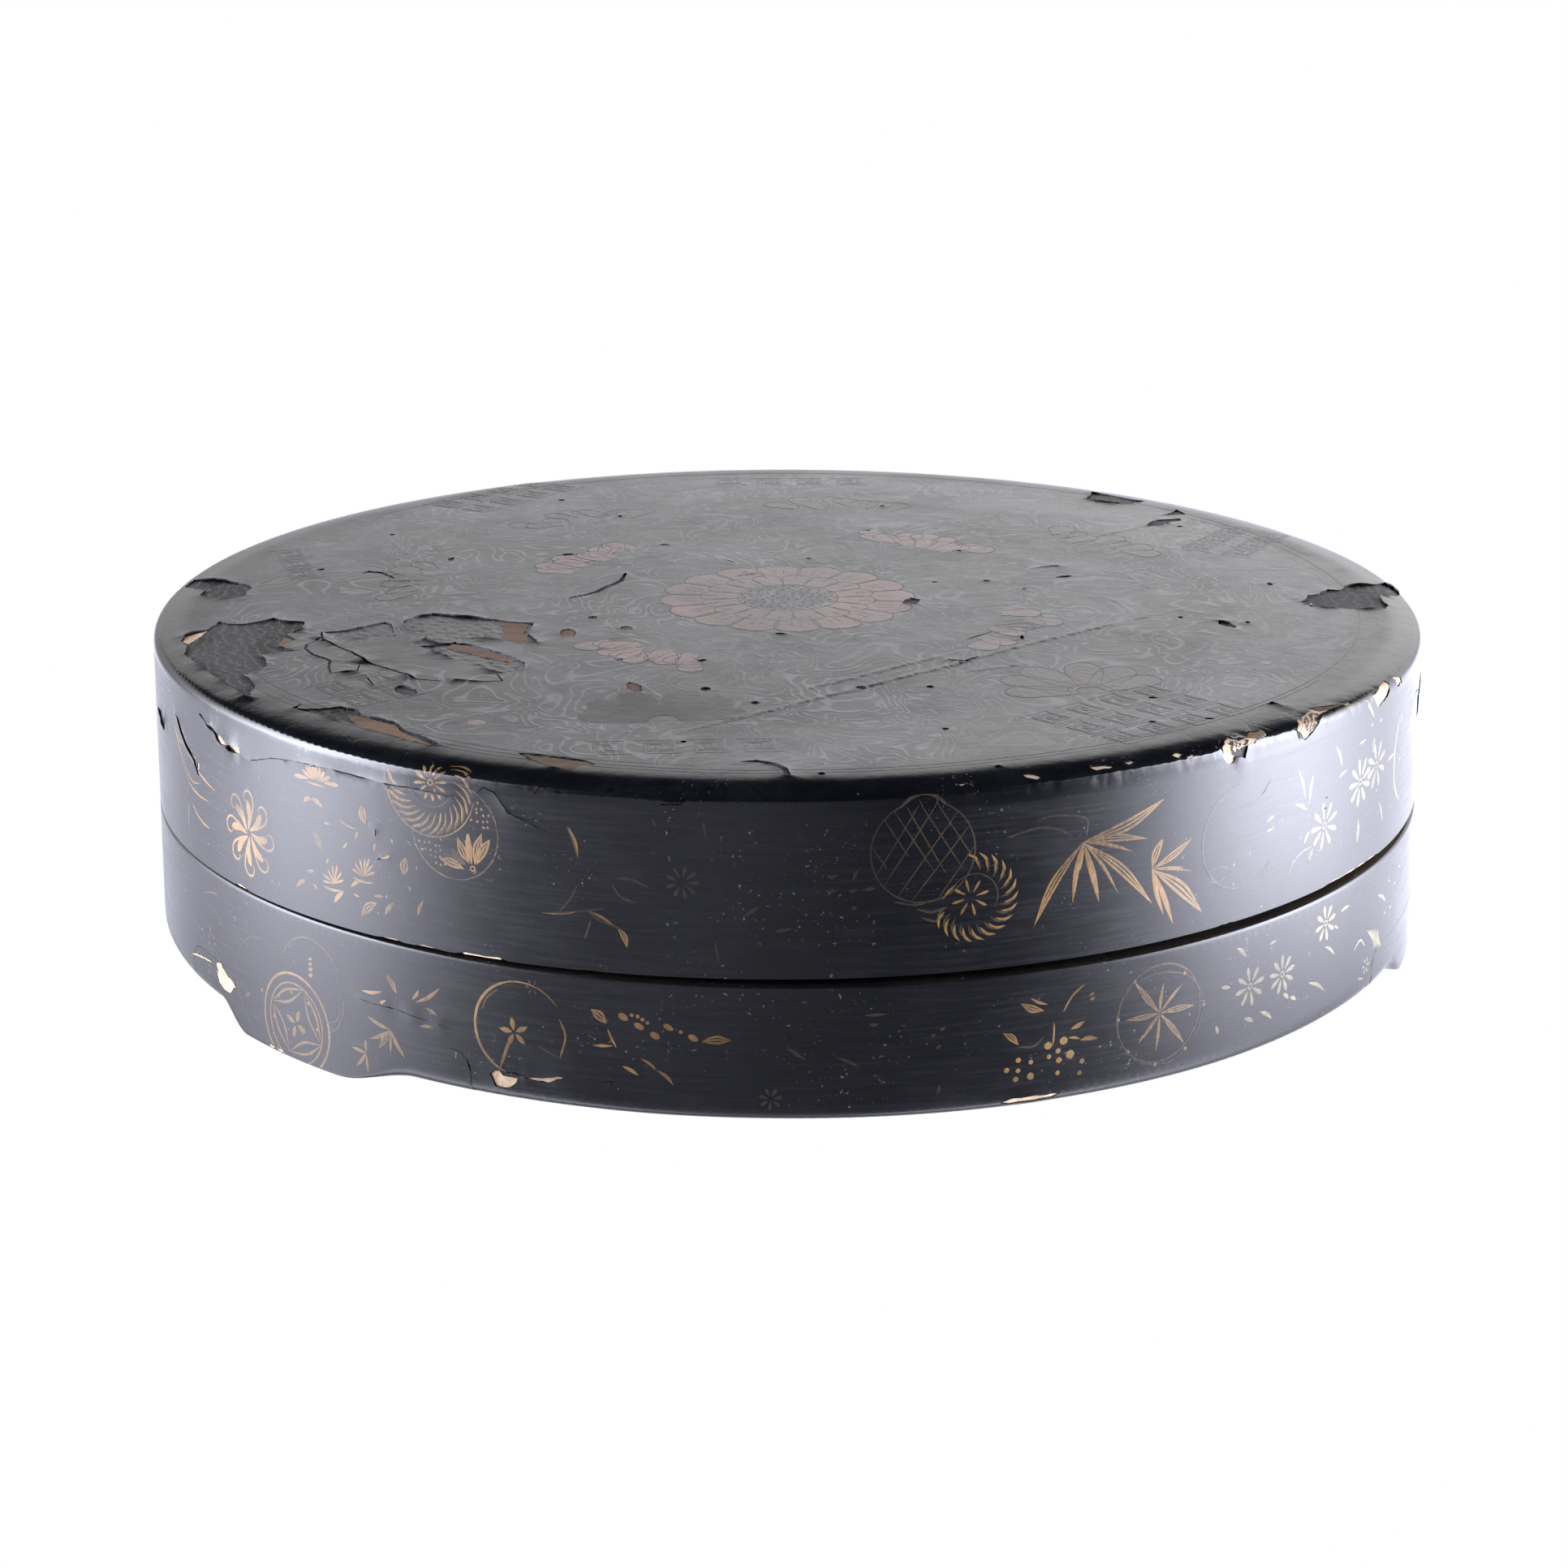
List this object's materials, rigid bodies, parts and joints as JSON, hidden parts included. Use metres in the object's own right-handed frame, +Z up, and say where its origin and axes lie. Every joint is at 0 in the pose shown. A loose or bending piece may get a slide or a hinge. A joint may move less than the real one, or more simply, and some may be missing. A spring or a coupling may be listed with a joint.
{
  "type": "round lacquered box",
  "caption": "Large shallow round box of lacquered wood with a crowned lift-off lid, an inner rising lip and bracket feet.",
  "frame": {"origin": "on the floor under the feet, below the middle of the box", "axes": "+Z up through the lid, the pictured front faces -Y, +X to its right"},
  "size_m": [0.38, 0.38, 0.0988],
  "materials": {
    "board_wood": "bare planed softwood",
    "hoop_wood": "bare bent wood",
    "bamboo": "bare bamboo",
    "cloth": "coarse cloth soaked with lacquer",
    "ground": "matt grey-brown ground",
    "black_lacquer": "aged satin black lacquer with worn gold ornament",
    "inside_lacquer": "satin brown-black lacquer",
    "lip_wood": "stained bent wood",
    "foot_lacquer": "wood under black lacquer"
  },
  "bodies": {
    "base": {"base_board_left": "board_wood", "base_board_middle": "board_wood", "base_board_right": "board_wood", "base_board_pegs": "bamboo", "base_hoop": "hoop_wood", "base_hoop_pegs": "bamboo", "base_lip": "lip_wood", "base_cloth": "cloth", "base_ground": "ground", "base_lacquer": "black_lacquer", "base_lining": "inside_lacquer", "foot_front_left": "foot_lacquer", "foot_right": "foot_lacquer", "foot_back": "foot_lacquer", "foot_pegs": "bamboo"},
    "lid": {"lid_board_front": "board_wood", "lid_board_mid_front": "board_wood", "lid_board_mid_back": "board_wood", "lid_board_back": "board_wood", "lid_board_pegs": "bamboo", "lid_hoop": "hoop_wood", "lid_hoop_pegs": "bamboo", "lid_cloth": "cloth", "lid_ground": "ground", "lid_lacquer": "black_lacquer", "lid_lining": "inside_lacquer"}
  },
  "joints": [
    {"name": "lid_lift", "type": "slide", "parent": "base", "child": "lid", "axis": [0, 0, 1], "range_m": [0, 0.12]}
  ]
}
